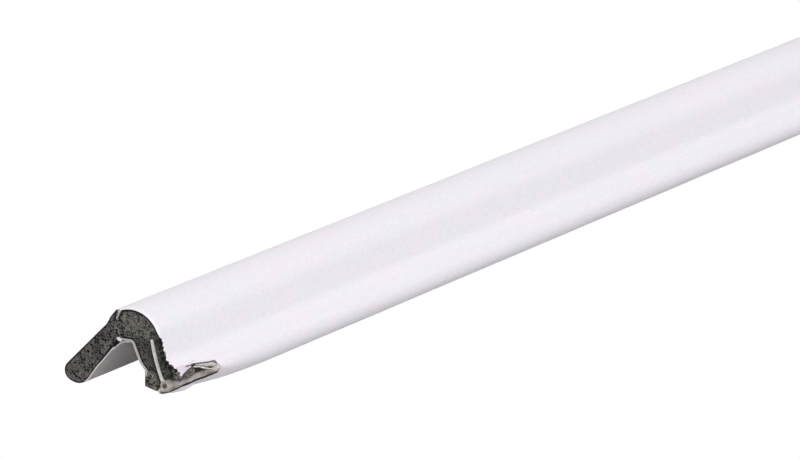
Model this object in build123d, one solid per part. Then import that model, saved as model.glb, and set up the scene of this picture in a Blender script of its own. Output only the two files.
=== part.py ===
from build123d import *

# Foam door seal strip with a hinged leaf, all sizes in millimetres.
#
# The strip runs along X.  Its film-clad outer wall looks to -Y, its leaf hangs to +Y,
# and it lies at Z = 0 on the tip of the leaf and on the nose of the toe.
# Outlines are drawn as (y, z) in the cross-section and extruded along X.

import os
from math import atan2, degrees, hypot

# Driving dimensions
LENGTH = 914.4  # 36 in, the standard door width
FILM = 0.25  # thickness of the film that clads the foam

PIVOT = (1.5, 8.45)  # crotch of the section, where the leaf hinges
NOTCH_BOTTOM = (2.0, 11.6)  # lower end of the slit between leaf and bulb
HINGE_GAP = 0.3  # gap between the foam of the leaf and the foam of the bulb
HINGE_BEAD_RADIUS = 0.4  # welded film bead in the crotch
HINGE_CLEARANCE = 0.05  # running clearance of the leaf round that bead

DIVISION_REACH = 8.0  # how far the trimmed side runs back from the hinge
OVERRUN = 1.0  # how far cutting shapes stand out past the solids they cut
DIVISION_TOP = 0.4  # how far the line between leaf and bulb runs on above the notch

BULB_RADIUS = 5.75
TOE_TOP_RADIUS = 2.2
TOE_RADIUS = 2.3
TOE_TIP_Y = -11.7  # outermost point of the toe
LEAF_TIP_RADIUS = 1.73
LEAF_UNDERSIDE_RADIUS = 3.0

WEB_TOP = (-5.1, 9.1)  # upper end of the rigid web inside the leg
WEB_THICKNESS = 0.45
BEAD_CENTRE = (-7.6, 1.75)
BEAD_RADIUS = 0.9
CORD_RADIUS = 0.38
FLANGE_THICKNESS = 0.8

FOOT_TOP = 3.6  # top of the foot pad
FOOT_OUTER_Y = -6.4  # side of the foot pad that faces the bead
FOOT_INNER_Y = -3.0  # beyond the side of the foot pad that faces the leaf
INNER_FILM_FROM_Y = -4.5  # the film in the crotch runs from the foot pad
INNER_FILM_TO_Y = 2.5  # to the hinge

SNIP_LENGTH = 10.5  # diagonal snip across the toe at the -X end
SNIP_START_Y = -8.6
SNIP_TOP = 4.9

# Corners (y, z) of the two film-clad outlines with the radius of each corner.
# Both run on past the line between leaf and bulb and are trimmed there afterwards.
BODY_CORNERS = [
    ((4.0, 11.6), 0.0),
    ((1.9, 11.6), 0.4),  # bottom of the notch
    ((1.3, 13.55), 0.5),  # crest beside the notch
    ((-5.07, 16.12), BULB_RADIUS),  # bulb
    ((-7.85, 5.75), 2.5),  # hollow where the wall flares out
    ((TOE_TIP_Y, 3.7), TOE_TOP_RADIUS),  # toe
    ((TOE_TIP_Y, 0.0), TOE_RADIUS),
    ((-7.2, 0.0), 3.0),
    ((-3.6, 1.15), 0.4),  # foot pad
    ((-3.85, 3.7), 0.4),
    ((-2.75, 4.95), 2.0),  # inner side of the leg
    ((-1.2, 8.45), 0.8),
    ((4.0, 8.45), 0.0),
]
LEAF_CORNERS = [
    ((-1.0, 11.6), 0.0),
    ((2.15, 11.6), 0.4),  # bottom of the notch
    ((1.42, 13.65), 0.12),  # apex of the leaf
    ((2.95, 12.12), 1.5),  # shoulder
    ((3.71, 10.78), 2.58),
    ((13.05, 1.42), LEAF_TIP_RADIUS),  # tip
    ((8.5, -0.72), LEAF_UNDERSIDE_RADIUS),
    ((1.5, 8.45), 0.0),  # crotch
    ((-1.0, 8.45), 0.0),
]


def outline(corners):
    """Closed face through the corners, each rounded by its own radius."""
    points = [point for point, radius in corners]
    radii = [radius for point, radius in corners]
    with BuildSketch() as sketch:
        with BuildLine():
            FilletPolyline(*points, radius=radii, close=True)
        make_face()
    return sketch.sketch


def rectangle(y_low, z_low, y_high, z_high):
    return Pos((y_low + y_high) / 2, (z_low + z_high) / 2) * Rectangle(y_high - y_low, z_high - z_low)


def disc(centre, radius):
    return Pos(*centre) * Circle(radius)


def strap(start, end, thickness):
    """Straight bar of the given thickness between two points of the section."""
    run, rise = end[0] - start[0], end[1] - start[1]
    middle = ((start[0] + end[0]) / 2, (start[1] + end[1]) / 2)
    return Pos(*middle) * Rot(0, 0, degrees(atan2(rise, run))) * Rectangle(hypot(run, rise), thickness)


def beyond_division(side):
    """The part of the neck on one side of the line between bulb (-1) and leaf (+1)."""
    low_z = PIVOT[1] - OVERRUN
    high_z = NOTCH_BOTTOM[1] + DIVISION_TOP
    slope = (NOTCH_BOTTOM[0] - PIVOT[0]) / (NOTCH_BOTTOM[1] - PIVOT[1])
    edge = PIVOT[0] + side * HINGE_GAP / 2
    low_y = edge + slope * (low_z - PIVOT[1])
    high_y = edge + slope * (high_z - PIVOT[1])
    far_y = PIVOT[0] - side * DIVISION_REACH
    return Polygon((low_y, low_z), (high_y, high_z), (far_y, high_z), (far_y, low_z), align=None)


def along_strip(section):
    """Extrude a (y, z) section over the whole length of the strip, centred on X = 0."""
    return Pos(-LENGTH / 2, 0, 0) * extrude(Plane.YZ * section, LENGTH)


def snipped(solid):
    """Cut the toe off diagonally at the -X end."""
    near_x = -LENGTH / 2 - OVERRUN
    corner = [
        (near_x, SNIP_START_Y),
        (-LENGTH / 2, SNIP_START_Y),
        (-LENGTH / 2 + SNIP_LENGTH, TOE_TIP_Y),
        (-LENGTH / 2 + SNIP_LENGTH, TOE_TIP_Y - OVERRUN),
        (near_x, TOE_TIP_Y - OVERRUN),
    ]
    wedge = Pos(0, 0, -OVERRUN) * extrude(Polygon(*corner, align=None), SNIP_TOP + OVERRUN)
    return solid - wedge


def body_sections():
    """Sections of everything that stays with the bulb and the leg."""
    clad = outline(BODY_CORNERS) - beyond_division(-1)
    core = offset(outline(BODY_CORNERS), -FILM) - beyond_division(-1)
    film = clad - core - disc(PIVOT, HINGE_BEAD_RADIUS)

    web = strap(WEB_TOP, BEAD_CENTRE, WEB_THICKNESS)
    flange = core & rectangle(TOE_TIP_Y, 0.0, FOOT_OUTER_Y, FILM + FLANGE_THICKNESS)
    cord = disc(BEAD_CENTRE, CORD_RADIUS)
    carrier = web + disc(BEAD_CENTRE, BEAD_RADIUS) + flange
    solid_carrier = carrier
    carrier = carrier - cord

    foot_area = rectangle(FOOT_OUTER_Y, -OVERRUN, FOOT_INNER_Y, FOOT_TOP)
    foot = (clad & foot_area) - solid_carrier
    inner_area = rectangle(INNER_FILM_FROM_Y, FOOT_TOP, INNER_FILM_TO_Y, PIVOT[1] + OVERRUN)
    inner_film = film & inner_area
    outer_film = film - inner_area - foot_area
    foam = core - solid_carrier - foot_area - disc(PIVOT, HINGE_BEAD_RADIUS)
    return {
        "body_foam": foam,
        "foot_pad": foot,
        "carrier": carrier,
        "stretch_cord": cord,
        "outer_skin": outer_film,
        "inner_skin": inner_film,
        "hinge_film": disc(PIVOT, HINGE_BEAD_RADIUS),
    }


def leaf_sections():
    """Sections of the swinging leaf."""
    trim = beyond_division(1) + disc(PIVOT, HINGE_BEAD_RADIUS + HINGE_CLEARANCE)
    clad = outline(LEAF_CORNERS) - trim
    core = offset(outline(LEAF_CORNERS), -FILM) - trim
    return {"leaf_foam": core, "leaf_skin": clad - core}


def largest_solid(shape):
    return max(shape.solids(), key=lambda solid: solid.volume)


os.makedirs("parts", exist_ok=True)
SNIPPED_NODES = ("body_foam", "carrier", "outer_skin")
for name, section in {**body_sections(), **leaf_sections()}.items():
    strip = along_strip(section)
    if name in SNIPPED_NODES:
        strip = snipped(strip)
    print(name, len(strip.solids()), round(strip.volume, 1))
    export_step(largest_solid(strip), f"parts/{name}.step")
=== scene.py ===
import math

import bmesh
import bpy
import numpy as np
from mathutils import Matrix, Vector, geometry, kdtree, noise


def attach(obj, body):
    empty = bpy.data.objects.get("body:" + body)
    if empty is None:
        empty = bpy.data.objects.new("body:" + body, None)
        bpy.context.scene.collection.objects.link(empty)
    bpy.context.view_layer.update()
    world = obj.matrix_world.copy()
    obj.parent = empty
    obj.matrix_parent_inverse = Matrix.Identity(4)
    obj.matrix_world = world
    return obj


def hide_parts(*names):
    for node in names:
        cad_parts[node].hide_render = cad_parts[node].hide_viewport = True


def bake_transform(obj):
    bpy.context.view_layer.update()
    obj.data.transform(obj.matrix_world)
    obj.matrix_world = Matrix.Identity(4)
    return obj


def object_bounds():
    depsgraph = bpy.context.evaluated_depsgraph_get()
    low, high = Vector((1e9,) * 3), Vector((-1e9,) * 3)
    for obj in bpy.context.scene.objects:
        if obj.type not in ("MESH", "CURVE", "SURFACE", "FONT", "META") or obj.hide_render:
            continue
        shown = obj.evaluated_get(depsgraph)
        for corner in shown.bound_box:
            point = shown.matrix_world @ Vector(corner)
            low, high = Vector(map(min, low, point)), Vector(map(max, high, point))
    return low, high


# Foam door seal strip with a hinged leaf.  Lengths below are millimetres in the shared frame unless a name
# ends in _M.  The strip runs along X, u is the distance from its near, snipped end, and sections are (y, z).

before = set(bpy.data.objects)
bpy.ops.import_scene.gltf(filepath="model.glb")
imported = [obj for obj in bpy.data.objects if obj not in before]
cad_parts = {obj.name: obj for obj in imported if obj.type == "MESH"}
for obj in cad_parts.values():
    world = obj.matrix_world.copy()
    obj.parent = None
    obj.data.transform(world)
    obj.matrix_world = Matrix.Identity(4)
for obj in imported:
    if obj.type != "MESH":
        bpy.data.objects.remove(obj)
cad_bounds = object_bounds()
MM = 0.001
NEAR_X = cad_bounds[0][0] / MM
LENGTH = (cad_bounds[1][0] - cad_bounds[0][0]) / MM

STRIP = "strip_body"
LEAF = "leaf"

# Section outlines, close to those of the solids: corners with the radius of each
BODY_CORNERS = [
    ((4.0, 11.6), 0.0),
    ((1.9, 11.6), 0.4),
    ((1.25, 13.62), 0.4),
    ((-5.07, 16.12), 5.75),
    ((-7.85, 5.75), 2.5),
    ((-11.7, 3.7), 2.2),
    ((-11.7, 0.0), 2.3),
    ((-7.2, 0.0), 3.0),
    ((-3.6, 1.15), 0.4),
    ((-3.85, 3.7), 0.4),
    ((-2.75, 4.95), 2.0),
    ((-1.2, 8.45), 0.8),
    ((4.0, 8.45), 0.0),
]
LEAF_CORNERS = [
    ((-1.0, 8.45), 0.0),
    ((1.5, 8.45), 0.0),
    ((8.5, -0.72), 3.0),
    ((13.3, 1.38), 1.73),
    ((3.71, 10.78), 2.58),
    ((2.95, 12.12), 1.5),
    ((1.45, 13.83), 0.12),
    ((2.15, 11.6), 0.4),
    ((-1.0, 11.6), 0.0),
]
PIVOT = (1.5, 8.45)
BEAD_CENTRE = (-7.6, 1.75)
BEAD_RADIUS = 0.9
CORD_RADIUS = 0.4
FOOT_OUTER_Y = -6.4

FILM = 0.16  # visible film thickness
LEAF_FILM = 0.1
FILM_GAP = 0.03  # between the film and the foam that it covers
SNIP_START_Y = -6.9  # the snip across the toe starts here
SNIP_SLOPE = 2.22  # length along the strip for each millimetre across the toe
SNIP_FULL = 10.6  # how far along the strip the snip reaches
PINCH_FADE = 5.0  # behind the snip the toe eases back to its full section over this length
TOE_SHOULDER = (-7.85, 5.75)
TOE_TOP_SLOPE = 0.5226
LIP_START_Y = -6.6  # from here outwards the crushed lip rises off the floor
LIP_SLOPE = 0.418
WALL_FILM_START = -0.04  # the film over the bulb stands just proud of the cut end
FOAM_STEP = 0.13  # spacing of points round a block of foam
WEB_STEP = 0.15
LIP_STEP = 0.16  # spacing along the lines of the torn mouth

rng = np.random.default_rng(7)


# ---------------------------------------------------------------- section curves

def rounded(corners, step=0.12):
    """Points every step along the closed outline through the corners, each rounded by its radius."""
    count = len(corners)
    points = []
    for i in range(count):
        before = np.array(corners[i - 1][0], float)
        here = np.array(corners[i][0], float)
        after = np.array(corners[(i + 1) % count][0], float)
        radius = corners[i][1]
        into = (here - before) / np.linalg.norm(here - before)
        out = (after - here) / np.linalg.norm(after - here)
        turn = math.atan2(into[0] * out[1] - into[1] * out[0], float(into @ out))
        if radius == 0.0 or abs(turn) < 1e-6:
            points.append(here)
            continue
        reach = radius * math.tan(abs(turn) / 2)
        start = here - into * reach
        side = math.copysign(1.0, turn)
        centre = start + side * radius * np.array((-into[1], into[0]))
        pieces = max(2, int(abs(turn) * radius / step) + 1)
        for k in range(pieces + 1):
            angle = turn * k / pieces
            arm = start - centre
            c, s = math.cos(angle), math.sin(angle)
            points.append(centre + np.array((c * arm[0] - s * arm[1], s * arm[0] + c * arm[1])))
    return resampled(np.array(points + [points[0]]), step)[:-1]


def resampled(points, step):
    """The same line with points every step along it."""
    gaps = np.linalg.norm(np.diff(points, axis=0), axis=1)
    along = np.concatenate([[0.0], np.cumsum(gaps)])
    count = max(2, int(round(along[-1] / step)) + 1)
    wanted = np.linspace(0.0, along[-1], count)
    return np.stack([np.interp(wanted, along, points[:, k]) for k in range(points.shape[1])], axis=1)


def closed_loop(points, step=FOAM_STEP):
    """The closed outline through points, with points every step round it."""
    return resampled(np.concatenate([points, points[:1]]), step)[:-1]


def circle(centre, radius, turn):
    return np.stack([centre[0] + radius * np.cos(turn), centre[1] + radius * np.sin(turn)], axis=1)


def ribbon(line, half):
    """The closed outline of a band that reaches half to each side of a line."""
    normals = outward_normals(line, False)
    return np.concatenate([line + normals * half, (line - normals * half)[::-1]])


def outward_normals(points, closed=True):
    """Unit normals to the right of travel, which is outward on the outlines above."""
    if closed:
        ahead, behind = np.roll(points, -1, axis=0), np.roll(points, 1, axis=0)
    else:
        ahead = np.concatenate([points[1:], points[-1:]])
        behind = np.concatenate([points[:1], points[:-1]])
    run = ahead - behind
    run /= np.maximum(np.linalg.norm(run, axis=1, keepdims=True), 1e-9)
    return np.stack([run[:, 1], -run[:, 0]], axis=1)


def nearest(points, target):
    return int(np.argmin(np.linalg.norm(points - np.array(target), axis=1)))


def between(points, start, end):
    """The stretch of a closed line of points that runs from near start to near end."""
    first, last = nearest(points, start), nearest(points, end)
    if last < first:
        return np.concatenate([points[first:], points[: last + 1]])
    return points[first : last + 1]


# ---------------------------------------------------------------- mesh building

def smooth(low, high, value):
    t = np.clip((np.asarray(value, float) - low) / (high - low), 0.0, 1.0)
    return t * t * (3 - 2 * t)


def lip_reach(y):
    """u of the snipped lower lip at a place across the underside."""
    return np.clip((SNIP_START_Y - y) * SNIP_SLOPE, 0.0, SNIP_FULL)


def lip_rise(y):
    """How high the crushed lip has risen at a place across the underside."""
    return LIP_SLOPE * np.maximum(LIP_START_Y - y, 0.0)


def behind_snip(u, y):
    """Distance along the strip behind the snip."""
    return np.maximum(u - lip_reach(y), 0.0)


def toe_pinch(u, y, z):
    """Near the snipped end the underside of the toe is squeezed up into a thin lip."""
    top = TOE_SHOULDER[1] + TOE_TOP_SLOPE * (y - TOE_SHOULDER[0])
    raised = 0.14 + lip_rise(y)
    squeeze = np.clip((top - raised) / np.maximum(top, 0.5), 0.3, 1.0)
    lifted = top - (top - z) * squeeze
    eased = np.exp(-behind_snip(u, y) / PINCH_FADE) * (1 - smooth(22.0, 30.0, u))
    amount = eased * smooth(-6.5, -8.2, y) * (z < top)
    return z + amount * (lifted - z)


def film_pinch(u, y, z):
    """The film follows the squeezed toe, but sags free of it in one place under the lip."""
    pinched = toe_pinch(u, y, z)
    free = smooth(1.4, 2.4, u) * (1 - smooth(4.2, 7.0, u)) * smooth(-6.5, -7.4, y) * smooth(-10.2, -9.2, y)
    free = free * (1 - np.exp(-behind_snip(u, y) / 0.5))
    return pinched + (z - pinched) * free * smooth(2.2, 1.2, z)


def unchanged(u, y, z):
    return z


def starts_at(u):
    """A flat cut at u, for every point of a section."""
    return lambda y, z: np.full(len(y), u)


class Shape:
    """Vertices in millimetres as (u, y, z), with faces and a pit depth for each vertex."""

    def __init__(self):
        self.points, self.faces, self.pits, self.materials = [], [], [], []

    def add(self, points, faces, pits=None, material=0):
        base = len(self.points)
        self.points.extend(map(tuple, points))
        self.pits.extend([0.0] * len(points) if pits is None else list(pits))
        self.faces.extend([tuple(base + i for i in face) for face in faces])
        self.materials.extend([material] * len(faces))
        return base

    def build(self, name, materials, sharp=40.0):
        mesh = bpy.data.meshes.new(name)
        coords = [((NEAR_X + u) * MM, y * MM, z * MM) for u, y, z in self.points]
        mesh.from_pydata(coords, [], self.faces)
        for material in materials:
            mesh.materials.append(material)
        mesh.polygons.foreach_set("material_index", self.materials)
        attribute = mesh.attributes.new("pit", "FLOAT", "POINT")
        attribute.data.foreach_set("value", np.array(self.pits, np.float32))
        mesh.validate()
        solid = bmesh.new()
        solid.from_mesh(mesh)
        bmesh.ops.recalc_face_normals(solid, faces=solid.faces)
        solid.to_mesh(mesh)
        solid.free()
        mesh.update()
        mesh.shade_smooth()
        mesh.set_sharp_from_angle(angle=math.radians(sharp))
        piece = bpy.data.objects.new(name, mesh)
        bpy.context.scene.collection.objects.link(piece)
        return piece


def stations(first=0.12, growth=1.05, widest=5.0):
    """Distances along the strip, close together at the near end."""
    places, gap = [0.0], first
    while places[-1] < LENGTH:
        places.append(places[-1] + gap)
        gap = min(widest, gap * growth)
    places = np.array(places)
    return places * LENGTH / places[-1]


def wave(points, amount, size):
    """Gentle unevenness for a set of (u, y, z) points."""
    return np.array([noise.noise(Vector(p) / size) for p in points]) * amount


def film(shape, profile, thickness, start, deform, ripple=0.02, inner=None, roll=0.0):
    """A thin sheet along the strip: profile is its outer line, start its first u at each profile point.
    inner, if given, says which profile points carry the second material, a darker copy of the film that
    paints shade on those faces.  roll rounds the outer face over at its start, as a share of the thickness."""
    along = stations()
    normals = outward_normals(profile, False)
    rows, cols = len(along), len(profile)
    u = start[None, :] + along[:, None] * (LENGTH - start[None, :]) / LENGTH
    layers = []
    rolled = (roll * (1 - smooth(0.0, 0.5, along)) ** 1.5)[:, None] * np.ones(cols)
    for depth in (rolled * thickness, np.ones((rows, cols)) * thickness):
        y = profile[:, 0] - normals[:, 0] * depth
        z = deform(u, y, profile[:, 1] - normals[:, 1] * depth)
        points = np.stack([u, y, z], axis=2).reshape(-1, 3)
        push = wave(points * (0.25, 1.0, 1.0), ripple, 3.0) + wave(points, ripple * 0.4, 0.9)
        swing = np.tile(normals, (rows, 1))
        points[:, 1] += push * swing[:, 0]
        points[:, 2] += push * swing[:, 1]
        layers.append(points)
    total = rows * cols
    faces, painted_shade_slots = [], []
    for k in range(rows - 1):
        for i in range(cols - 1):
            a, b = k * cols + i, k * cols + i + 1
            c, d = a + cols, b + cols
            painted_shade_slot = int(inner is not None and bool(inner[i]))
            faces.append((a, c, d, b))
            faces.append((total + a, total + b, total + d, total + c))
            painted_shade_slots += [painted_shade_slot, painted_shade_slot]
    for k in (0, rows - 1):
        for i in range(cols - 1):
            a, b = k * cols + i, k * cols + i + 1
            faces.append((a, b, total + b, total + a))
    for i in (0, cols - 1):
        for k in range(rows - 1):
            a, c = k * cols + i, (k + 1) * cols + i
            faces.append((a, total + a, total + c, c))
    painted_shade_slots += [0] * (len(faces) - len(painted_shade_slots))
    shape.add(np.concatenate(layers), faces)
    shape.materials[-len(faces):] = painted_shade_slots


def inside(points, loop):
    """Which points lie inside a closed loop."""
    x, y = points[:, 0][:, None], points[:, 1][:, None]
    ax, ay = loop[:, 0][None, :], loop[:, 1][None, :]
    bx, by = np.roll(loop[:, 0], -1)[None, :], np.roll(loop[:, 1], -1)[None, :]
    crosses = (ay > y) != (by > y)
    with np.errstate(divide="ignore", invalid="ignore"):
        at = (bx - ax) * (y - ay) / (by - ay) + ax
    return (np.sum(crosses & (x < at), axis=1) % 2) == 1


class Cells:
    """Open foam cells on a cut face: how deep the surface is pitted at a point of the section."""

    def __init__(self, size, depth, seed, open_share=0.3):
        draw = np.random.default_rng(seed)
        gaps = np.arange(-14.0, 14.0, size)
        grid = np.array([(y, z) for y in gaps for z in gaps if z > -2.0])
        self.seeds = grid + draw.uniform(-0.48, 0.48, grid.shape) * size
        self.depths = draw.uniform(0.15, 0.6, len(grid))
        self.depths[draw.random(len(grid)) < open_share] = 1.0
        self.size, self.depth = size, depth
        self.tree = kdtree.KDTree(len(grid))
        for i, (y, z) in enumerate(self.seeds):
            self.tree.insert((y, z, 0.0), i)
        self.tree.balance()

    def pits(self, points):
        result = np.zeros(len(points))
        for k, (y, z) in enumerate(points):
            (_, first, near), (_, _, far) = self.tree.find_n((y, z, 0.0), 2)
            wall = min(1.0, (far - near) / (0.45 * self.size))
            result[k] = wall * wall * (3 - 2 * wall) * self.depths[first]
        return result


def all_round(y, z):
    return np.ones(len(y))


def no_shade(y, z):
    return np.zeros(len(y))


def fold_shade(points):
    """Painted shade along fold lines in the cut foam where the bulb meets its leg; the pit value that
    carries it also sinks them a little.
    """
    fold = np.array([(-0.95, 10.9), (-1.02, 10.37), (-1.0, 9.5), (-1.11, 8.73), (-1.15, 8.4)])
    fold = resampled(fold, 0.1)
    away = np.linalg.norm(points[:, None, :] - fold[None, :, :], axis=2).min(axis=1)
    return 0.75 * (1 - smooth(0.05, 0.2, away))


def cut_face(shape, loop, cells, base_u, deform, spacing, facing, edge_shade, shade, edge_width):
    """A pitted face across the section.  facing is 1 for the near end and -1 for the far end."""
    low, high = loop.min(axis=0), loop.max(axis=0)
    ys = np.arange(low[0], high[0], spacing)
    zs = np.arange(low[1], high[1], spacing * 0.87)
    grid = np.array([(y + (0.5 * spacing if k % 2 else 0.0), z) for k, z in enumerate(zs) for y in ys])
    grid += rng.uniform(-0.2, 0.2, grid.shape) * spacing
    grid = grid[inside(grid, loop)]
    tree = kdtree.KDTree(len(loop))
    for i, (y, z) in enumerate(loop):
        tree.insert((y, z, 0.0), i)
    tree.balance()
    clear = [tree.find((y, z, 0.0))[2] > 0.6 * spacing for y, z in grid]
    flat = np.concatenate([loop, grid[np.array(clear, bool)]])
    ring = [(i, (i + 1) % len(loop)) for i in range(len(loop))]
    verts, _, faces, origins, _, _ = geometry.delaunay_2d_cdt(
        [Vector(p) for p in flat], ring, [], 1, 1e-5
    )
    flat = np.array([tuple(v) for v in verts])
    edge = np.array([tree.find((y, z, 0.0))[2] for y, z in flat])
    # painted shade: a dark band along the edge of the cut face, where it meets the film; the pit value that
    # carries it also sinks the band a little
    dark = (1 - smooth(edge_width, edge_width + 0.19, edge)) * edge_shade(flat[:, 0], flat[:, 1])
    pits = np.maximum(cells.pits(flat) + shade(flat[:, 0], flat[:, 1]), np.maximum(dark, fold_shade(flat)))
    pits = np.minimum(pits, 1.0)
    depth = base_u(flat[:, 0], flat[:, 1]) + pits * cells.depth
    u = depth if facing > 0 else LENGTH - depth
    points = np.stack([u, flat[:, 0], deform(u, flat[:, 0], flat[:, 1])], axis=1)
    base = shape.add(points, faces, pits)
    place = {}
    for new, old in enumerate(origins):
        for o in old:
            if o < len(loop):
                place[o] = base + new
    return [place[i] for i in range(len(loop))]


def foam(shape, loop, cells, base_u, deform, swell=None, edge_shade=all_round, shade=no_shade, edge_width=0.17):
    """A closed section run along the strip, with pitted cut faces at both ends.  swell says how far each
    point of the loop stands out at the near face, where the foam is free of its film."""
    free = loop if swell is None else loop + outward_normals(loop) * swell[:, None]
    near = cut_face(shape, free, cells, base_u, deform, 0.13, 1, edge_shade, shade, edge_width)
    far = cut_face(shape, loop, cells, starts_at(0.0), unchanged, 0.26, -1, edge_shade, no_shade, edge_width)
    start = base_u(loop[:, 0], loop[:, 1])
    places = np.array(
        [0.0, 0.25, 0.5, 1.0, 2.0, 4.0, 7.0, 10.0, 14.0, 18.0, 22.0, 26.0, 30.0, 60.0, 250.0, 600.0]
    )
    rings = [near]
    for place in places[1:]:
        u = start + place * (LENGTH - start) / LENGTH
        line = free if place == places[1] else loop
        z = deform(u, line[:, 0], line[:, 1])
        base = shape.add(np.stack([u, line[:, 0], z], axis=1), [])
        rings.append([base + i for i in range(len(loop))])
    rings.append(far)
    count = len(loop)
    for here, there in zip(rings[:-1], rings[1:]):
        for i in range(count):
            j = (i + 1) % count
            shape.faces.append((here[i], there[i], there[j], here[j]))
            shape.materials.append(0)


def spline(points, step):
    """A smooth line through points, which may carry sizes beside their places, with points every step."""
    p = np.array(points, float)
    ends = np.concatenate([[2 * p[0] - p[1]], p, [2 * p[-1] - p[-2]]])
    line = []
    for i in range(len(p) - 1):
        a, b, c, d = ends[i : i + 4]
        for t in np.linspace(0, 1, 12, endpoint=False):
            bend = (2 * a - 5 * b + 4 * c - d) * t * t + (3 * b - 3 * c + d - a) * t**3
            line.append(0.5 * (2 * b + (c - a) * t + bend))
    line.append(p[-1])
    return resampled(np.array(line), step)


def sweep(shape, path, deform=unchanged, up=(0.0, 0.0, 1.0), crumple=0.05, ring=18, square=0.55, material=0):
    """A strip swept along path, whose points are (u, y, z, height, depth), with rounded edges and ends."""
    run = np.gradient(path[:, :3], axis=0)
    run /= np.linalg.norm(run, axis=1, keepdims=True)
    side = np.cross(run, np.array(up, float))
    side /= np.linalg.norm(side, axis=1, keepdims=True)
    lift = np.cross(side, run)
    turn = np.linspace(0, 2 * math.pi, ring, endpoint=False)
    c = np.sign(np.cos(turn)) * np.abs(np.cos(turn)) ** square
    s = np.sign(np.sin(turn)) * np.abs(np.sin(turn)) ** square
    count = len(path)
    from_end = np.minimum(np.arange(count), np.arange(count)[::-1])
    ease = np.sin(np.clip(from_end / 3.0, 0.12, 1.0) * math.pi / 2)
    tall = (path[:, 3] * ease)[:, None, None]
    deep = (path[:, 4] * ease)[:, None, None]
    arm = 0.5 * (deep * c[None, :, None] * side[:, None, :] + tall * s[None, :, None] * lift[:, None, :])
    points = (path[:, None, :3] + arm).reshape(-1, 3)
    out = arm.reshape(-1, 3)
    out = out / np.maximum(np.linalg.norm(out, axis=1, keepdims=True), 1e-9)
    bumps = wave(points, crumple, 0.9) + wave(points, crumple * 0.5, 0.35)
    points = points + out * bumps[:, None]
    points[:, 2] = deform(points[:, 0], points[:, 1], points[:, 2])
    faces = []
    for k in range(count - 1):
        for i in range(ring):
            j = (i + 1) % ring
            faces.append((k * ring + i, k * ring + j, (k + 1) * ring + j, (k + 1) * ring + i))
    faces.append(tuple(range(ring)))
    faces.append(tuple(range((count - 1) * ring, count * ring)))
    shape.add(points, faces, material=material)


def prism(shape, loop, start, deform=unchanged, material=0):
    """A closed section run along the strip from start(y, z) to the far end, with flat ends."""
    places = stations(0.5, 1.08, 20.0)
    begin = start(loop[:, 0], loop[:, 1])
    count = len(loop)
    points, faces = [], []
    for k, place in enumerate(places):
        u = begin + place * (LENGTH - begin) / LENGTH
        z = deform(u, loop[:, 0], loop[:, 1])
        points.extend(zip(u, loop[:, 0], z))
        if k:
            for i in range(count):
                j = (i + 1) % count
                faces.append(((k - 1) * count + i, (k - 1) * count + j, k * count + j, k * count + i))
    faces.append(tuple(range(count)))
    faces.append(tuple(range(len(points) - count, len(points))))
    shape.add(points, faces, material=material)


def flap(shape, upper, lower, rows, thickness, crumple, material=0):
    """A thin torn flap between two lines of (u, y, z) points."""
    count = min(len(upper), len(lower))
    upper, lower = resampled_to(upper, count), resampled_to(lower, count)
    blend = np.linspace(0, 1, rows)[:, None, None]
    grid = upper[None] * (1 - blend) + lower[None] * blend
    points = grid.reshape(-1, 3)
    points = points + np.stack([wave(points + k * 17.0, crumple, 0.8) for k in range(3)], axis=1)
    back = points + np.array((0.35, 0.8, -0.45)) * thickness
    faces = []
    total = rows * count
    for k in range(rows - 1):
        for i in range(count - 1):
            a, b = k * count + i, k * count + i + 1
            faces.append((a, b, b + count, a + count))
            faces.append((total + a, total + a + count, total + b + count, total + b))
    border = [i for i in range(count)] + [k * count + count - 1 for k in range(1, rows)]
    border += [total - 1 - i for i in range(1, count)] + [k * count for k in range(rows - 2, 0, -1)]
    for a, b in zip(border, border[1:] + border[:1]):
        faces.append((a, total + a, total + b, b))
    shape.add(np.concatenate([points, back]), faces, material=material)


def resampled_to(points, count):
    places = np.linspace(0, len(points) - 1, count)
    return np.stack([np.interp(places, np.arange(len(points)), points[:, k]) for k in range(3)], axis=1)


def crumb(shape, centre, size, material=0):
    """A small torn lump."""
    ball = bmesh.new()
    bmesh.ops.create_icosphere(ball, subdivisions=3, radius=0.5)
    ball.verts.ensure_lookup_table()
    stretch = rng.uniform(0.6, 1.3, 3)
    shift = Vector(rng.uniform(0, 50, 3))
    points, pits = [], []
    for vert in ball.verts:
        knob = 1 + 0.35 * noise.noise(vert.co * 3.0 + shift) + 0.15 * noise.noise(vert.co * 8.0 + shift)
        points.append(np.array(centre) + np.array(vert.co) * stretch * size * knob)
        pits.append(0.5 - 0.9 * noise.noise(vert.co * 8.0 + shift))
    faces = [tuple(v.index for v in face.verts) for face in ball.faces]
    ball.free()
    shape.add(points, faces, pits, material)


# ---------------------------------------------------------------- materials

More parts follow.
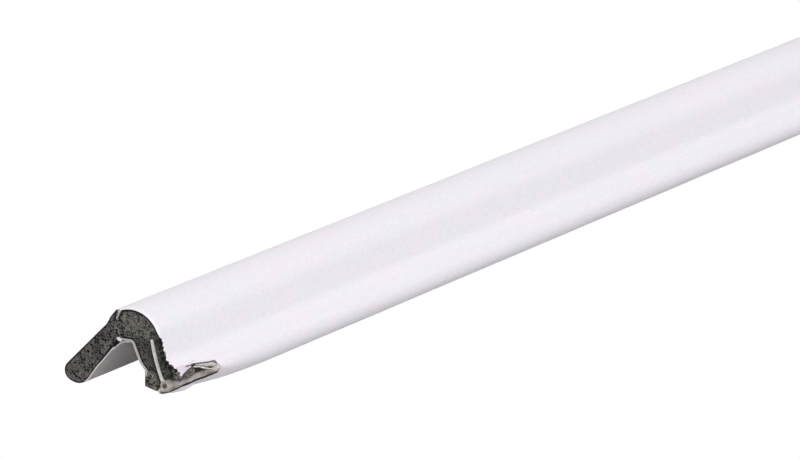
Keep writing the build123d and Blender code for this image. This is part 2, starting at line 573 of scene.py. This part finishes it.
class Surface:
    """A Principled material and short ways to add nodes to it."""

    def __init__(self, name, colour, roughness, specular=0.3):
        self.material = bpy.data.materials.new(name)
        self.material.use_nodes = True
        self.nodes = self.material.node_tree.nodes
        self.links = self.material.node_tree.links
        self.shader = self.nodes["Principled BSDF"]
        self.shader.inputs["Base Color"].default_value = (*colour, 1.0)
        self.shader.inputs["Roughness"].default_value = roughness
        self.shader.inputs["Specular IOR Level"].default_value = specular

    def noise(self, scale, detail=3.0, roughness=0.5, stretch=(1.0, 1.0, 1.0)):
        """A noise value from 0 to 1; scale is in features per metre."""
        place = self.nodes.new("ShaderNodeTexCoord")
        mapping = self.nodes.new("ShaderNodeMapping")
        mapping.inputs["Scale"].default_value = stretch
        texture = self.nodes.new("ShaderNodeTexNoise")
        texture.inputs["Scale"].default_value = scale
        texture.inputs["Detail"].default_value = detail
        texture.inputs["Roughness"].default_value = roughness
        self.links.new(place.outputs["Object"], mapping.inputs["Vector"])
        self.links.new(mapping.outputs["Vector"], texture.inputs["Vector"])
        return texture.outputs["Fac"]

    def ramp(self, value, stops):
        """Colours along a value: stops are (position, colour)."""
        node = self.nodes.new("ShaderNodeValToRGB")
        elements = node.color_ramp.elements
        elements[0].position, elements[0].color = stops[0][0], (*stops[0][1], 1.0)
        elements[1].position, elements[1].color = stops[-1][0], (*stops[-1][1], 1.0)
        for position, colour in stops[1:-1]:
            elements.new(position).color = (*colour, 1.0)
        self.links.new(value, node.inputs["Fac"])
        return node.outputs["Color"]

    def mix(self, first, second, amount, kind="MIX"):
        node = self.nodes.new("ShaderNodeMix")
        node.data_type = "RGBA"
        node.blend_type = kind
        node.inputs[0].default_value = amount
        self.links.new(first, node.inputs[6])
        self.links.new(second, node.inputs[7])
        return node.outputs[2]

    def pit(self):
        node = self.nodes.new("ShaderNodeAttribute")
        node.attribute_name = "pit"
        return node.outputs["Fac"]

    def paint(self, colour):
        self.links.new(colour, self.shader.inputs["Base Color"])

    def bump(self, height, strength, distance):
        node = self.nodes.new("ShaderNodeBump")
        node.inputs["Strength"].default_value = strength
        node.inputs["Distance"].default_value = distance
        self.links.new(height, node.inputs["Height"])
        self.links.new(node.outputs["Normal"], self.shader.inputs["Normal"])


def foam_material(name, wall, hollow, speckle):
    """Open-cell foam: lighter cell walls and pits darkened by the pit value down to the hollow colour, which
    is painted shade; uneven from cell to cell.
    """
    surface = Surface(name, wall, 0.95, 0.15)
    # painted shade: the higher the pit value, the darker the foam, down to the hollow colour
    depth = surface.ramp(surface.pit(), [(0.0, wall), (0.35, tuple(0.62 * c for c in wall)), (1.0, hollow)])
    tone = surface.ramp(
        surface.noise(2600.0, 2.0, 0.7), [(0.3, (1 - speckle,) * 3), (0.72, (1 + speckle,) * 3)]
    )
    patch = surface.ramp(surface.noise(420.0, 2.0), [(0.35, (0.86, 0.84, 0.86)), (0.65, (1.1, 1.12, 1.1))])
    surface.paint(surface.mix(surface.mix(depth, tone, 1.0, "MULTIPLY"), patch, 1.0, "MULTIPLY"))
    surface.bump(surface.noise(3800.0, 2.0), 0.5, 0.0001)
    return surface.material


def film_material(name, colour, roughness, mottle=0.05, grain=0.3):
    """Thin vinyl film with a faint mottle and a fine grain."""
    surface = Surface(name, colour, roughness, 0.35)
    r, g, b = colour
    pink = (r, g * (1 - mottle), b * (1 - 0.3 * mottle))
    blue = (r * (1 - mottle), g * (1 - 0.6 * mottle), b)
    tint = surface.ramp(surface.noise(260.0, 3.0, 0.6), [(0.35, pink), (0.65, blue)])
    fleck = surface.ramp(surface.noise(1900.0, 2.0), [(0.32, (0.94,) * 3), (0.68, (1.0,) * 3)])
    surface.paint(surface.mix(tint, fleck, 1.0, "MULTIPLY"))
    surface.bump(surface.noise(900.0, 4.0, 0.6), grain, 0.0002)
    return surface.material


def plastic_material(name, light, dark, roughness, scale=900.0):
    """Semi-rigid plastic with cut marks and creases."""
    surface = Surface(name, light, roughness, 0.5)
    tone = surface.ramp(surface.noise(scale, 4.0, 0.65, (0.35, 1.0, 1.0)), [(0.36, dark), (0.62, light)])
    surface.paint(tone)
    surface.bump(surface.noise(1500.0, 3.0), 0.5, 0.0002)
    return surface.material


# The second colour of each foam is the painted shade deep in its pits.
bulb_stuff = foam_material("bulb_foam_cut", (0.185, 0.182, 0.165), (0.022, 0.022, 0.020), 0.5)
leaf_stuff = foam_material("leaf_foam_cut", (0.142, 0.129, 0.127), (0.016, 0.015, 0.016), 0.5)
foot_stuff = foam_material("foot_foam_cut", (0.230, 0.215, 0.190), (0.030, 0.028, 0.026), 0.5)
crumb_stuff = foam_material("torn_crumbs", (0.34, 0.315, 0.295), (0.05, 0.045, 0.045), 0.5)
fleck_stuff = foam_material("torn_film_flecks", (0.46, 0.41, 0.40), (0.10, 0.09, 0.09), 0.4)
white_stuff = film_material("white_film", (0.82, 0.805, 0.83), 0.5)
pale_stuff = film_material("inner_film", (0.52, 0.51, 0.50), 0.55)
leaf_film_stuff = film_material("leaf_film", (0.66, 0.65, 0.64), 0.55)
# A darker copy of the leaf film: painted shade for the crotch between leaf and leg.
leaf_film_shaded_stuff = film_material("leaf_film_painted_shade", (0.505, 0.485, 0.47), 0.6)
teeth_shade_stuff = foam_material("torn_foam_teeth_painted_shade", (0.022, 0.024, 0.022), (0.003, 0.003, 0.003), 0.4)
bead_stuff = film_material("hinge_film", (0.86, 0.86, 0.84), 0.4)
web_stuff = plastic_material("web_plastic", (0.74, 0.73, 0.68), (0.58, 0.55, 0.53), 0.45)
lip_stuff = plastic_material("flange_edge_plastic", (0.53, 0.495, 0.475), (0.20, 0.165, 0.155), 0.32, 700.0)
roof_stuff = plastic_material("torn_edge_plastic", (0.64, 0.61, 0.60), (0.30, 0.27, 0.26), 0.32, 700.0)
flap_stuff = film_material("torn_film", (0.70, 0.67, 0.695), 0.5, 0.08)
shadow_edge_stuff = plastic_material("torn_film_shadow_edge", (0.16, 0.14, 0.14), (0.05, 0.045, 0.045), 0.6)
# A near-black material that paints the shadow lines under the crushed lip and beside the web.
shadow_line_stuff = plastic_material("painted_shadow_line", (0.016, 0.010, 0.009), (0.008, 0.005, 0.005), 0.4)
cord_stuff = plastic_material("stretch_cord", (0.17, 0.12, 0.11), (0.05, 0.035, 0.034), 0.8, 2500.0)


# ---------------------------------------------------------------- the strip body

body_line = rounded(BODY_CORNERS)
leaf_line = rounded(LEAF_CORNERS)


def inset(line, depth, closed=False):
    return line - outward_normals(line, closed) * depth


bulb_cells = Cells(0.46, 0.26, 11, 0.28)
leaf_cells = Cells(0.50, 0.34, 12, 0.32)
foot_cells = Cells(0.62, 0.50, 13, 0.40)

RIM = 0.10  # how far the foam's cut face sits behind the end of the film


def body_cut(y, z):
    """How far the body foam's cut face lies behind the near end."""
    above = z - (0.45 + lip_rise(y))
    low = (lip_reach(y) + 0.6 * smooth(-7.2, -8.0, y)) * (1 - smooth(0.8, 2.7, above))
    hollow = 9.2 * smooth(-9.55, -10.15, y)
    return RIM + np.maximum(low, hollow)


skin_line = between(body_line, (1.75, 11.75), (FOOT_OUTER_Y, 0.0))
inner_line = between(body_line, (-3.72, 3.0), (1.1, 8.45))
skin_thick = FILM + 0.20 * smooth(9.7, 10.9, skin_line[:, 1])
in_notch = skin_line[:, 0] > 1.0
skin_thick[in_notch] = np.interp(skin_line[in_notch, 1], [11.7, 13.2], [0.10, 0.36])

shape = Shape()
loop = np.concatenate(
    [
        inset(skin_line, (skin_thick + FILM_GAP)[:, None])[2:],
        np.array([(-6.4, 1.2), (-6.1, 3.2), (-5.2, 3.75), (-4.1, 3.7)]),
        inset(inner_line[nearest(inner_line, (-3.8, 3.75)) + 3 :], FILM + FILM_GAP),
        np.array([(0.7, 8.75), (0.95, 10.2), (1.0, 11.4), (1.45, 11.7)]),
    ]
)
loop = closed_loop(loop)


def leg_shade(y, z):
    """The cut foam is darker down the leg and out towards the wall."""
    return np.minimum(0.48, 0.34 * (1 - smooth(8.4, 10.0, z)) + 0.26 * smooth(-4.2, -5.8, y))


# The bulb's cut face gets painted edge shade all round in a wider band, and leg_shade darkens its leg.
foam(shape, loop, bulb_cells, body_cut, toe_pinch, shade=leg_shade, edge_width=0.27)
bulb = shape.build("bulb_and_leg_foam", [bulb_stuff])

shape = Shape()
foot_loop = np.array(
    [(-3.55, 3.5), (-3.7, 3.8), (-4.9, 3.9), (-6.15, 3.3),
     (-6.6, 1.4), (-6.5, 0.28), (-5.0, 0.60), (-3.36, 1.08)]
)
foot_loop = closed_loop(foot_loop)
# The foot's cut face gets painted edge shade of 0.45 strength all round.
foam(
    shape, foot_loop, foot_cells, lambda y, z: 0.05 + 0.1 * (3.6 - z), unchanged,
    edge_shade=starts_at(0.45),
)
foot = shape.build("foot_foam", [foot_stuff])

# White film: starts at the cut end, ragged down the wall, then follows the snip round the toe
nose = int(np.argmin(skin_line[:, 0]))
start = np.zeros(len(skin_line))
arc = np.concatenate([[0.0], np.cumsum(np.linalg.norm(np.diff(skin_line, axis=0), axis=1))])
for i, (y, z) in enumerate(skin_line):
    if i >= nose:
        start[i] = float(lip_reach(y)) + 0.1
        continue
    saw = float(smooth(10.2, 9.2, z))
    phase = (arc[i] / 1.15 + 0.25 * math.sin(arc[i] * 2.3)) % 1.0
    tooth = abs(2 * phase - 1)
    ragged = 0.10 + 0.62 * tooth + 0.30 * noise.noise(Vector((arc[i] * 1.7, 3.1, 0.0)))
    torn = 5.0 * float(smooth(-9.45, -9.8, y)) + 5.4 * float(smooth(-9.8, -10.9, y))
    start[i] = (1 - saw) * WALL_FILM_START + saw * ragged + torn
start[: nose + 1] = np.minimum(start[: nose + 1], SNIP_FULL)

shape = Shape()
film(shape, skin_line, skin_thick, start, film_pinch, roll=0.85)
skin = shape.build("white_cover_film", [white_stuff])

shape = Shape()
film(shape, inner_line, 0.22, np.zeros(len(inner_line)), unchanged)
inner = shape.build("leg_inner_film", [pale_stuff])

# Hinge film bead
turn = np.linspace(0, 2 * math.pi, 20, endpoint=False)
shape = Shape()
lean = math.radians(28.0)
ring_long, ring_short = 0.50 * np.cos(turn), 0.25 * np.sin(turn)
ring = np.stack(
    [
        PIVOT[0] - 0.30 + ring_long * math.cos(lean) - ring_short * math.sin(lean),
        PIVOT[1] + 0.04 + ring_long * math.sin(lean) + ring_short * math.cos(lean),
    ],
    axis=1,
)
prism(shape, ring, starts_at(-0.05))
hinge = shape.build("hinge_bead_film", [bead_stuff])

# Carrier: web, bead, flange and the crushed lip round the snipped toe
shape = Shape()
web_line = spline([(-5.0, 9.2), (-5.35, 7.6), (-5.85, 5.7), (-6.5, 3.7), (-7.05, 2.35)], WEB_STEP)
thick = np.interp(np.linspace(0, 1, len(web_line)), [0, 0.2, 1], [0.24, 0.40, 0.32])[:, None]
prism(shape, ribbon(web_line, thick / 2), starts_at(-0.12), toe_pinch, material=0)
# Near-black strip painted as the shadow gap beside the web.
web_shadow_gap = spline([(-5.0, 8.9), (-5.06, 7.7), (-5.52, 5.8), (-6.16, 3.8), (-6.62, 2.6)], WEB_STEP)
web_shadow_gap_half = np.interp(np.linspace(0, 1, len(web_shadow_gap)), [0, 0.25, 0.9, 1], [0.04, 0.16, 0.25, 0.12])[:, None]
prism(shape, ribbon(web_shadow_gap, web_shadow_gap_half), starts_at(-0.06), toe_pinch, material=2)
prism(shape, circle(BEAD_CENTRE, BEAD_RADIUS, turn), starts_at(-0.12), unchanged, material=1)
tail = spline([(-7.0, 1.3), (-6.6, 0.9), (-6.3, 0.55)], WEB_STEP)
prism(shape, ribbon(tail, 0.22), starts_at(-0.08), unchanged, material=0)
flange = np.array(
    [(-7.2, 0.85), (-8.6, 0.85), (-10.2, 1.20), (-11.0, 1.95), (-11.2, 2.5),
     (-10.8, 2.5), (-10.0, 1.75), (-8.6, 1.35), (-7.2, 1.3)]
)
flange = closed_loop(flange, 0.2)
prism(shape, flange, lambda y, z: lip_reach(y) + 0.8, toe_pinch, material=1)

# Each line below runs along the mouth as (u, y, z, height, depth)
lower_lip = spline(
    [
        (-0.35, -6.72, 0.80, 0.70, 0.6),
        (0.5, -7.1, 1.0, 0.95, 0.8),
        (1.4, -7.5, 1.12, 1.0, 0.9),
        (2.7, -8.05, 1.46, 1.0, 0.9),
        (4.0, -8.6, 1.86, 0.95, 0.9),
        (5.35, -9.2, 2.16, 0.95, 0.9),
        (6.7, -9.75, 2.38, 0.90, 0.9),
        (8.45, -10.5, 2.64, 0.85, 0.9),
        (9.8, -11.05, 2.86, 0.9, 0.9),
        (10.3, -11.3, 3.04, 0.9, 0.8),
    ],
    LIP_STEP,
)
sweep(shape, lower_lip, crumple=0.12, material=1)
nose_cap = spline(
    [
        (9.8, -11.15, 2.8, 0.75, 0.8),
        (10.6, -11.25, 3.0, 1.0, 0.7),
        (10.5, -11.0, 3.35, 0.8, 0.7),
        (9.9, -10.9, 3.6, 0.6, 0.6),
    ],
    LIP_STEP,
)
sweep(shape, nose_cap, up=(0.2, -0.4, 0.86), crumple=0.10, material=1)
upper_lip = spline(
    [
        (10.3, -10.95, 3.40, 0.70, 0.6),
        (9.5, -10.75, 3.68, 0.75, 0.6),
        (8.2, -10.42, 3.86, 0.65, 0.6),
        (6.8, -10.05, 4.15, 0.50, 0.6),
        (5.5, -9.75, 4.42, 0.28, 0.4),
    ],
    LIP_STEP,
)
sweep(shape, upper_lip, up=(0.0, -0.35, 0.93), crumple=0.12, material=5)
white_line = spline(
    [
        (4.6, -10.15, 4.30, 0.16, 0.2),
        (6.0, -10.45, 4.00, 0.22, 0.25),
        (7.1, -10.8, 3.62, 0.24, 0.25),
        (8.8, -11.15, 3.12, 0.16, 0.2),
    ],
    LIP_STEP,
)
sweep(shape, white_line, crumple=0.04, material=0)
# A dark strip painted as shade along the top of the upper lip.
brow_shade_line = spline(
    [
        (5.0, -9.78, 4.64, 0.14, 0.3),
        (6.8, -10.1, 4.42, 0.20, 0.4),
        (8.4, -10.45, 4.22, 0.20, 0.4),
        (9.7, -10.75, 4.10, 0.16, 0.4),
        (10.6, -11.0, 3.62, 0.14, 0.4),
    ],
    LIP_STEP,
)
sweep(shape, brow_shade_line, crumple=0.08, material=4)
flap_top = spline(
    [(0.4, -9.35, 5.02), (1.5, -9.35, 5.02), (3.5, -9.35, 5.02), (5.6, -9.4, 4.99), (7.0, -9.6, 4.88)], 0.2
)
flap_low = spline(
    [(0.0, -10.6, 3.40), (0.7, -10.5, 3.92), (2.2, -10.22, 4.08), (4.0, -9.95, 4.28), (6.6, -9.8, 4.52)], 0.2
)
flap(shape, flap_top, flap_low, 9, 0.16, 0.16, material=6)
shadow = spline(
    [
        (0.9, -10.2, 3.62, 0.10, 0.2),
        (2.4, -10.0, 3.86, 0.24, 0.3),
        (4.2, -9.85, 4.02, 0.34, 0.3),
        (6.0, -9.9, 4.10, 0.30, 0.3),
        (8.0, -10.2, 3.74, 0.12, 0.2),
    ],
    LIP_STEP,
)
sweep(shape, shadow, crumple=0.10, material=4)
# Near-black strip painted as the shadow line under the crushed lip.
lip_shadow_line = spline(
    [
        (-0.45, -6.72, 0.44, 0.12, 0.4),
        (1.3, -7.56, 0.52, 0.20, 0.5),
        (2.6, -8.15, 0.86, 0.28, 0.5),
        (3.9, -8.7, 1.24, 0.30, 0.5),
        (5.2, -9.28, 1.48, 0.36, 0.5),
        (6.55, -9.84, 1.76, 0.40, 0.5),
        (8.3, -10.6, 2.06, 0.40, 0.5),
        (10.3, -11.45, 2.48, 0.32, 0.5),
    ],
    LIP_STEP,
)
sweep(shape, lip_shadow_line, crumple=0.05, material=2)
carrier = shape.build(
    "carrier_web_and_lip",
    [web_stuff, lip_stuff, shadow_line_stuff, white_stuff, shadow_edge_stuff, roof_stuff, flap_stuff],
)

# Torn crumbs of foam and film held in the crushed mouth of the toe
shape = Shape()
for k in range(110):
    y = rng.uniform(-10.4, -7.5)
    z = rng.uniform(1.85 + 0.44 * (-7.5 - y), min(3.9, 2.5 + 0.85 * (-7.5 - y)))
    cut = float(body_cut(np.array([y]), np.array([z]))[0])
    u = min(cut, 0.3 + 0.5 * float(lip_reach(y))) if k % 3 else cut
    crumb(shape, (u, y, z), rng.uniform(0.3, 0.7), int(rng.random() < 0.8))
# Torn lumps along the film's ragged edge down the wall; their near-black colour is painted shade for the
# dark line there.
for y, z, size in (
    (-6.76, 9.5, 0.36), (-6.86, 8.4, 0.40), (-7.08, 7.35, 0.44), (-7.34, 6.4, 0.46),
    (-7.9, 5.72, 0.48), (-8.76, 5.05, 0.46), (-9.62, 4.55, 0.46), (-10.25, 4.28, 0.36),
):
    crumb(shape, (0.05, y, z), size, 2)
    crumb(shape, (0.05, y + 0.30, z - 0.20), size * 0.9, 2)
    crumb(shape, (0.12, y + 0.22, z - 0.58), size * 0.6, 2)
for y, z in (
    (-9.3, 4.4), (-9.75, 4.2), (-9.95, 3.95), (-10.15, 4.0), (-10.1, 3.65), (-10.3, 3.65), (-9.9, 3.4),
):
    crumb(shape, (0.0, y, z), 0.55, 1)
for y, z, size in ((-4.35, 3.55, 0.3), (-5.1, 2.85, 0.36), (-5.45, 2.5, 0.42), (-5.75, 1.9, 0.3)):
    crumb(shape, (0.12, y, z), size, 3)
crumbs = shape.build("torn_toe_crumbs", [bulb_stuff, crumb_stuff, teeth_shade_stuff, fleck_stuff])

shape = Shape()
prism(shape, circle(BEAD_CENTRE, CORD_RADIUS, turn), starts_at(-0.22), unchanged)
cord = shape.build("stretch_cord_core", [cord_stuff])


# ---------------------------------------------------------------- the leaf and its neck

leaf_skin_line = np.concatenate(
    [
        spline([(2.25, 6.86), (2.67, 6.42), (3.6, 5.33), (4.6, 4.16)], 0.12),
        between(leaf_line, (5.4, 3.3), (2.1, 11.75)),
    ]
)
tip = nearest(leaf_skin_line, (7.5, 0.7))
apex = nearest(leaf_skin_line, (1.55, 13.6))
shape = Shape()
loop = np.concatenate(
    [
        inset(between(leaf_line, (2.5, 7.15), (2.1, 11.75)), LEAF_FILM + FILM_GAP)[:-2],
        np.array([(2.2, 11.7), (2.45, 11.25)]),
    ]
)
loop = closed_loop(loop)
outer_half = np.array([float(smooth(0.0, 1.2, (y - 7.3) * 0.79 + (z - 0.6) * 0.62)) for y, z in loop])
outer_half *= smooth(2.2, 2.8, loop[:, 0] + 0.4 * np.maximum(loop[:, 1] - 11.0, 0.0) + 0.6)


# Painted edge shade on the leaf foam's cut face, left off next to the neck (y under 2.6, z under 11.2).
def leaf_edge_shade(y, z):
    return 1 - (smooth(2.95, 2.6, y) * (z < 11.2))


foam(
    shape, loop, leaf_cells, lambda y, z: np.zeros(len(y)), unchanged,
    swell=outer_half * (LEAF_FILM + FILM_GAP), edge_shade=leaf_edge_shade,
)
leaf_core = shape.build("leaf_foam_core", [leaf_stuff])

leaf_start = np.zeros(len(leaf_skin_line))
for i in range(len(leaf_skin_line)):
    if i > tip:
        leaf_start[i] = 0.45 * float(smooth(tip, tip + 12, i))
    if i > apex - 2:
        leaf_start[i] = 0.45
# The leaf film faces towards the leg take the darker copy of the film, painted shade.
facing_leg = np.arange(len(leaf_skin_line)) < tip + 6
shape = Shape()
film(
    shape, leaf_skin_line, np.where(facing_leg, 0.2, LEAF_FILM), leaf_start, unchanged,
    inner=facing_leg,
)
leaf_skin = shape.build("leaf_cover_film", [leaf_film_stuff, leaf_film_shaded_stuff])

shape = Shape()
loop = np.array(
    [(0.8, 8.75), (1.5, 8.3), (1.95, 7.75), (2.6, 6.95),
     (2.65, 11.15), (2.3, 11.45), (1.9, 11.4), (0.8, 11.35)]
)
loop = closed_loop(loop)
# The neck's cut face gets painted edge shade only along its bottom, below z 8.9.
foam(
    shape, loop, leaf_cells, starts_at(RIM + 0.03), unchanged,
    edge_shade=lambda y, z: smooth(8.9, 8.4, z),
)
neck = shape.build("hinge_neck_foam", [leaf_stuff])

# The thin film that arches under the hinge from the leg to the leaf; its faces take the darker copy of the
# film, painted shade.
shape = Shape()
arch_line = spline([(-0.8, 8.42), (0.0, 8.34), (0.7, 8.16), (1.45, 7.62), (1.95, 7.12), (2.4, 6.65)], 0.1)
film(shape, arch_line[::-1], 0.2, np.zeros(len(arch_line)), unchanged, inner=np.ones(len(arch_line), bool))
arch = shape.build("hinge_arch_film", [pale_stuff, leaf_film_shaded_stuff])

shape = Shape()
fold_corners = np.array([(1.72, 11.85), (1.85, 11.62), (2.0, 11.5), (2.15, 11.5), (2.25, 11.62)])
fold_line = resampled(fold_corners[::-1], 0.08)
film(shape, fold_line, 0.1, np.full(len(fold_line), 0.9), unchanged)
fold = shape.build("notch_fold_film", [white_stuff])


# ---------------------------------------------------------------- frame, floor, light and camera

for piece in (bulb, foot, skin, inner, hinge, carrier, crumbs, cord):
    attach(piece, STRIP)
for piece in (leaf_core, leaf_skin):
    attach(piece, LEAF)
for piece in (neck, fold, arch):
    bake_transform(piece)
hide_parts("body_foam")
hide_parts("foot_pad")
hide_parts("outer_skin")
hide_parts("inner_skin")
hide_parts("hinge_film")
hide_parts("carrier")
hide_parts("stretch_cord")
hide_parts("leaf_foam")
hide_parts("leaf_skin")

FLOOR_Z_M = -0.0042
bpy.ops.mesh.primitive_plane_add(size=80.0, location=(0.0, 0.0, FLOOR_Z_M))
floor = bpy.context.object
floor.name = "floor"
paper = Surface("floor_paper", (0.66, 0.66, 0.66), 0.9, 0.0)
glow = paper.nodes.new("ShaderNodeEmission")
glow.inputs["Strength"].default_value = 1.0
path = paper.nodes.new("ShaderNodeLightPath")
blend = paper.nodes.new("ShaderNodeMixShader")
paper.links.new(path.outputs["Is Camera Ray"], blend.inputs["Fac"])
paper.links.new(paper.shader.outputs["BSDF"], blend.inputs[1])
paper.links.new(glow.outputs["Emission"], blend.inputs[2])
paper.links.new(blend.outputs["Shader"], paper.nodes["Material Output"].inputs["Surface"])
floor.data.materials.append(paper.material)

world = bpy.data.worlds.new("studio")
bpy.context.scene.world = world
world.use_nodes = True
sky = world.node_tree.nodes["Background"]
sky.inputs["Color"].default_value = (1.0, 1.0, 1.0, 1.0)
sky.inputs["Strength"].default_value = 0.45
backdrop = world.node_tree.nodes.new("ShaderNodeBackground")
backdrop.inputs["Color"].default_value = (1.0, 1.0, 1.0, 1.0)
seen = world.node_tree.nodes.new("ShaderNodeLightPath")
choice = world.node_tree.nodes.new("ShaderNodeMixShader")
world.node_tree.links.new(seen.outputs["Is Camera Ray"], choice.inputs["Fac"])
world.node_tree.links.new(sky.outputs["Background"], choice.inputs[1])
world.node_tree.links.new(backdrop.outputs["Background"], choice.inputs[2])
world.node_tree.links.new(choice.outputs["Shader"], world.node_tree.nodes["World Output"].inputs["Surface"])


def softbox(name, place, aim, size, power):
    """A square soft light at place, facing aim, in metres and watts."""
    data = bpy.data.lights.new(name, "AREA")
    data.shape = "SQUARE"
    data.size = size
    data.energy = power
    lamp = bpy.data.objects.new(name, data)
    bpy.context.scene.collection.objects.link(lamp)
    lamp.location = place
    lamp.rotation_euler = (Vector(aim) - Vector(place)).to_track_quat("-Z", "Y").to_euler()


softbox("overhead", (-2.4, -2.7, 3.9), (0.0, 0.0, 0.0), 4.0, 235.0)
softbox("fill", (1.5, 4.4, 1.9), (0.0, 0.0, 0.0), 3.0, 70.0)

HEADING = math.radians(29.84)
ELEVATION = math.radians(13.48)
DISTANCE = 1192.5
LENS = 326.4
AIM_RIGHT, AIM_UP = 52.89, 25.29
forward = Vector(
    (
        math.cos(HEADING) * math.cos(ELEVATION),
        math.sin(HEADING) * math.cos(ELEVATION),
        -math.sin(ELEVATION),
    )
)
right = Vector((math.sin(HEADING), -math.cos(HEADING), 0.0))
up = right.cross(forward)
aim = Vector((NEAR_X, 9.21, 0.0)) + right * AIM_RIGHT + up * AIM_UP
camera_data = bpy.data.cameras.new("camera")
camera_data.lens = LENS
camera_data.sensor_width = 36.0
camera_data.clip_start = 0.05
camera_data.clip_end = 200.0
camera = bpy.data.objects.new("camera", camera_data)
bpy.context.scene.collection.objects.link(camera)
turned = Matrix((right, up, -forward)).transposed().to_4x4()
camera.matrix_world = Matrix.Translation((aim - forward * DISTANCE) * MM) @ turned
bpy.context.scene.camera = camera
bpy.context.scene.view_settings.view_transform = "Standard"
